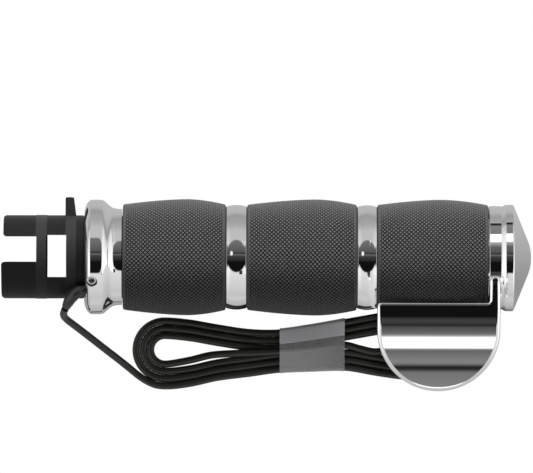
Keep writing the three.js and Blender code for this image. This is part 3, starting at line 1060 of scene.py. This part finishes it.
def film_material():
    """Amber heater film with the shadow of its etched track."""
    material, tree = new_material("heater_film")
    place = tree.place()
    track = tree.add("TexWave", {"Vector": place, "Scale": 95, "Distortion": 0.6},
                     wave_type="BANDS", bands_direction="X").outputs[1]
    lines = tree.ramp(track, [(0.45, (0.42, 0.17, 0.04)), (0.55, (0.19, 0.1, 0.05))])
    tree.principled({
        "Base Color": lines,
        "Roughness": tree.span(tree.noise(place, 200, 3), 0.25, 0.4),
        "Normal": tree.bump(track, 0.00004, 0.5),
    })
    return material


chrome = chrome_material("chrome", (0.93, 0.935, 0.94), 0.07)
paddle_chrome = chrome_material("chrome_paddle", (0.9, 0.905, 0.91), 0.06)
rubber = rubber_material()
nylon = nylon_material("black_nylon", (0.0045, 0.0045, 0.0048), (0.0075, 0.0075, 0.008), (0.36, 0.62), 0.14,
                       (SLEEVE_RIB, SLEEVE_FLANGE))
plastic = nylon_material("connector_plastic", (0.012, 0.012, 0.013), (0.022, 0.022, 0.024), (0.3, 0.58), 0.4)
cable = moulded_material("cable_jacket", (120, 3), (0.012, 0.0123, 0.0088), (0.024, 0.0243, 0.0178),
                         (0.26, 0.44), ((60, 2600, 2600), 2), (0.00003, 0.4))
screw_steel = metal_material("screw_steel", (0.5, 0.5, 0.51), (0.66, 0.66, 0.67), 0.22, 900)
brass = metal_material("contact_brass", (0.62, 0.44, 0.14), (0.78, 0.57, 0.2), 0.24, 400)
aluminium = metal_material("aluminium_core", (0.6, 0.61, 0.63), (0.72, 0.73, 0.75), 0.32, 2200)
film = film_material()
boot_rubber = moulded_material("boot_rubber", (300, 4), (0.006, 0.006, 0.006), (0.014, 0.014, 0.013),
                               (0.2, 0.36), ((2400, 2400, 2400), 3), (0.00003, 0.3))
seal_rubber = moulded_material("seal_rubber", (400, 3), (0.2, 0.035, 0.012), (0.27, 0.05, 0.02),
                               (0.5, 0.65), ((3000, 3000, 3000), 3), (0.00004, 0.4))


def dress(material, *pieces):
    """Gives pieces one material, in place of any they came with."""
    for piece in pieces:
        piece.data.materials.clear()
        piece.data.materials.append(material)


def dress_node(material, *names):
    for name in names:
        for slot in nodes[name].material_slots:
            slot.material = material


dress(chrome, *rings, collar, cap)
dress(paddle_chrome, paddle, clip)
dress(rubber, *rubbers)
dress(nylon, sleeve)
dress(plastic, plug_pieces[1])
dress(seal_rubber, plug_pieces[0])
dress(cable, lead)
dress(boot_rubber, boot)
dress(clear_material("clear_band", 0.48, 0.4), band)
# The lap is paler than the band: partly its real second layer of tape, partly painted highlight along the
# tie's top edge, which lies in the grip's shadow.
dress(clear_material("clear_band_lap_painted_highlight", 0.9, 0.58), band_lap)
dress(screw_steel, *screws)
dress_node(aluminium, "grip_core")
dress_node(film, "heater_film")
dress_node(cable, "heater_wire_1", "heater_wire_2")
dress_node(brass, "connector_contact_1", "connector_contact_2")
dress_node(seal_rubber, "cap_oring_1", "cap_oring_2")


# -------- studio

def angle_ramp(tree, y, z, stops):
    """A brightness by angle from +Z towards +Y, given as (degrees, value) stops."""
    place = tree.math("MULTIPLY_ADD", tree.math("ARCTAN2", y, z), 1 / (2 * math.pi), 0.5)
    return tree.ramp(place, [(angle / 360 + 0.5, value) for angle, value in stops])


# What polished metal sees on the table top, by distance towards +Y, in millimetres: painted brightness,
# dipping to painted shade near the grip.
TABLE = [(-400, 0.6), (-110, 0.63), (-50, 0.5), (-15, 0.3), (10, 0.45), (22, 0.52), (55, 0.5),
         (110, 0.35), (400, 0.38)]
# A painted shadow under the grip on the table, seen only by polish: its strength across the grip and along
# it.
SHADOW_ACROSS_GRIP = [(-42, 0.0), (-24, 0.9), (10, 0.9), (20, 0.0)]
SHADOW_ALONG_GRIP = [(25, 0.0), (40, 1.0), (140, 1.0), (152, 0.0)]


def make_floor():
    """A table top that glows plain white to the camera and shows no shadow; what polish sees of it glows with
    painted brightness and a painted shadow under the grip.
    """
    reach = 2500
    level = FLOOR_Z - 0.02
    corners = [(-reach, -reach, level), (reach, -reach, level), (reach, reach, level), (-reach, reach, level)]
    floor = add_object("floor", (corners, [(0, 1, 2, 3)]))
    material, tree = new_material("floor_white")
    x, y, _ = tree.axes(tree.place())
    across = tree.math("MULTIPLY_ADD", y, 1 / 0.8, 0.5)
    along = tree.math("MULTIPLY_ADD", x, 1 / 0.8, 0.5)
    table = tree.ramp(across, [(table_place(a), v) for a, v in TABLE])
    shadow_across, shadow_along = (tree.ramp(way, [(table_place(a), v) for a, v in stops])
                     for way, stops in ((across, SHADOW_ACROSS_GRIP), (along, SHADOW_ALONG_GRIP)))
    # painted shadow under the grip, seen only in reflections
    shade = tree.math("SUBTRACT", 1.0, tree.math("MULTIPLY", shadow_across, shadow_along))
    seen = tree.add("LightPath").outputs["Is Camera Ray"]
    mirrored, white = tree.glow(table, shade), tree.glow((1, 1, 1, 1))
    tree.surface(tree.add("MixShader", {0: seen, 1: mirrored, 2: white}).outputs[0])
    dress(material, floor)


# Brightness round the grip axis, by angle from +Z towards +Y.
TENT = [(-180, 0.33), (-90, 0.58), (-75, 0.65), (-60, 0.69), (-47, 0.73), (-36, 0.78),
        (36, 0.56), (62, 0.54), (78, 0.42), (90, 0.38), (180, 0.3)]
# The same inside the dark opening overhead that the camera looks through.
OPENING = [(-180, 0.004), (-10, 0.006), (-5, 0.03), (3, 0.05), (6, 0.16), (9, 0.02), (12, 0.09),
           (22, 0.13), (34, 0.17), (180, 0.17)]
OPENING_TILT = math.radians(3)
OPENING_REACH = math.radians(36)
SPOT = (-0.3, 0.15)  # a small lamp inside it, as a direction's X and Y


def make_world():
    """A light tent with a dark opening overhead."""
    world = bpy.data.worlds.new("studio")
    world.use_nodes = True
    scene.world = world
    tree = Tree(world.node_tree)
    direction = tree.add("TexCoord").outputs["Generated"]
    x, y, z = tree.axes(direction)
    tent = angle_ramp(tree, y, z, TENT)
    inside = angle_ramp(tree, y, z, OPENING)
    towards = tree.math("ADD", tree.math("MULTIPLY", y, math.sin(OPENING_TILT)),
                        tree.math("MULTIPLY", z, math.cos(OPENING_TILT)))
    lift = tree.span(tree.math("ABSOLUTE", x), 1.0, 1.7, 0.3, 0.75)
    sides = tree.mix(1.0, tent, lift, blend_type="MULTIPLY")
    off_spot = [tree.math("SUBTRACT", value, centre) for value, centre in zip((x, y), SPOT)]
    spot_away = tree.math("SQRT", tree.math("ADD", *(tree.math("MULTIPLY", off, off) for off in off_spot)))
    spot = tree.ramp(spot_away, [(0.06, 1.0), (0.1, 0.0)])
    lit = tree.mix(spot, inside, (1, 1, 1, 1))
    edge = math.radians(1.5)
    away = tree.math("ARCCOSINE", towards)
    outside = tree.span(away, 0.0, 1.0, OPENING_REACH - edge, OPENING_REACH + edge)
    seen = tree.add("LightPath").outputs["Is Camera Ray"]
    shown = tree.mix(seen, tree.mix(outside, lit, sides), (1, 1, 1, 1))
    tree.surface(tree.add("Background", {"Color": shown}).outputs[0], "World")


# Two curved reflector screens, by angle from +Z: one stands beyond the cap, one on the paddle's side.
CAP_SCREEN = [(20, 0.1), (24, 0.13), (34, 0.45), (35.5, 1.6), (52.5, 1.6), (53.5, 0.2), (72, 0.23),
              (74.5, 0.2), (76, 0.02), (81, 0.02), (82.5, 0.5), (84, 0.5)]
PADDLE_SCREEN = [(-96, 1.4), (-87, 1.4), (-85, 0.24), (-80, 0.22), (-71, 0.19), (-69.5, 0.06),
                 (-68, 0.02), (-65.5, 0.02), (-63.8, 0.2), (-61.4, 0.25), (-57, 0.2), (-50.8, 0.13),
                 (-49.5, 1.6), (-41.5, 1.6), (-39.9, 0.42), (-37.7, 0.15), (-32.5, 0.08), (-30.9, 0.018),
                 (-29, 0.05), (-26.4, 0.055), (-24, 0.006)]


def ribbon(name, edges):
    """A strip between pairs of points."""
    faces = [(2 * k, 2 * k + 1, 2 * k + 3, 2 * k + 2) for k in range(len(edges) - 1)]
    return add_object(name, ([corner for pair in edges for corner in pair], faces))


def show_to_polish(piece, material):
    """Makes a piece part of the studio that only mirror-like surfaces see."""
    dress(material, piece)
    for ray in ("camera", "diffuse", "transmission", "volume_scatter", "shadow"):
        setattr(piece, "visible_" + ray, False)


def make_screen(name, stops, first, last, centre, radius=250):
    """A strip of a drum about a line along X, bright and dark by angle."""
    edges = []
    for up, across in arc(radius, stops[0][0], stops[-1][0], 40):
        y, z = centre[0] + across, centre[1] + up
        edges.append([(first, y, z), (last, y, z)])
    material, tree = new_material(name)
    _, y, z = tree.axes(tree.place())
    from_centre = (tree.math("SUBTRACT", value, middle * MM) for value, middle in zip((y, z), centre))
    tree.surface(tree.glow(angle_ramp(tree, *from_centre, stops)))
    show_to_polish(ribbon(name, edges), material)


def make_flag(name, along, inner, outer, start, end):
    """Part of a disc across the grip axis that hides a screen from the polish on its -X side."""
    edges = [[(along, radius * across, radius * up) for radius in (inner, outer)]
             for up, across in arc(1, start, end, 24)]
    material, tree = new_material(name)
    normal = tree.add("NewGeometry").outputs["True Normal"]
    faces_inboard = tree.math("LESS_THAN", tree.axes(normal)[0], 0.0)
    _, y, z = tree.axes(tree.place())
    glow = tree.glow(angle_ramp(tree, y, z, TENT))
    clear = tree.add("BsdfTransparent").outputs[0]
    tree.surface(tree.add("MixShader", {0: faces_inboard, 1: clear, 2: glow}).outputs[0])
    show_to_polish(ribbon(name, edges), material)


LAMP_PLACE = (0.06, 1, 0.42)  # in metres


def make_lamp():
    """A soft lamp beyond the grip that rakes across the rubber."""
    data = bpy.data.lights.new("raking_lamp", "AREA")
    data.shape = "SQUARE"
    data.size = 0.45
    data.energy = 43
    lamp = bpy.data.objects.new("raking_lamp", data)
    lamp.location = LAMP_PLACE
    lamp.rotation_euler = (Vector((LAMP_PLACE[0], 0, 0)) - lamp.location).to_track_quat("-Z", "Y").to_euler()
    lamp.visible_glossy = False
    lamp.visible_camera = False
    scene.collection.objects.link(lamp)


make_screen("cap_screen", CAP_SCREEN, 138.5, 156, (0, 0))
make_screen("paddle_screen", PADDLE_SCREEN, 99, 149.5, (-28, 8))
make_flag("cap_flag", 138.3, 150, 262, 36, 86)
make_flag("paddle_flag", 99.45, 19, 300, -104, -37)
make_floor()
make_world()
make_lamp()
scene.view_settings.view_transform = "Standard"
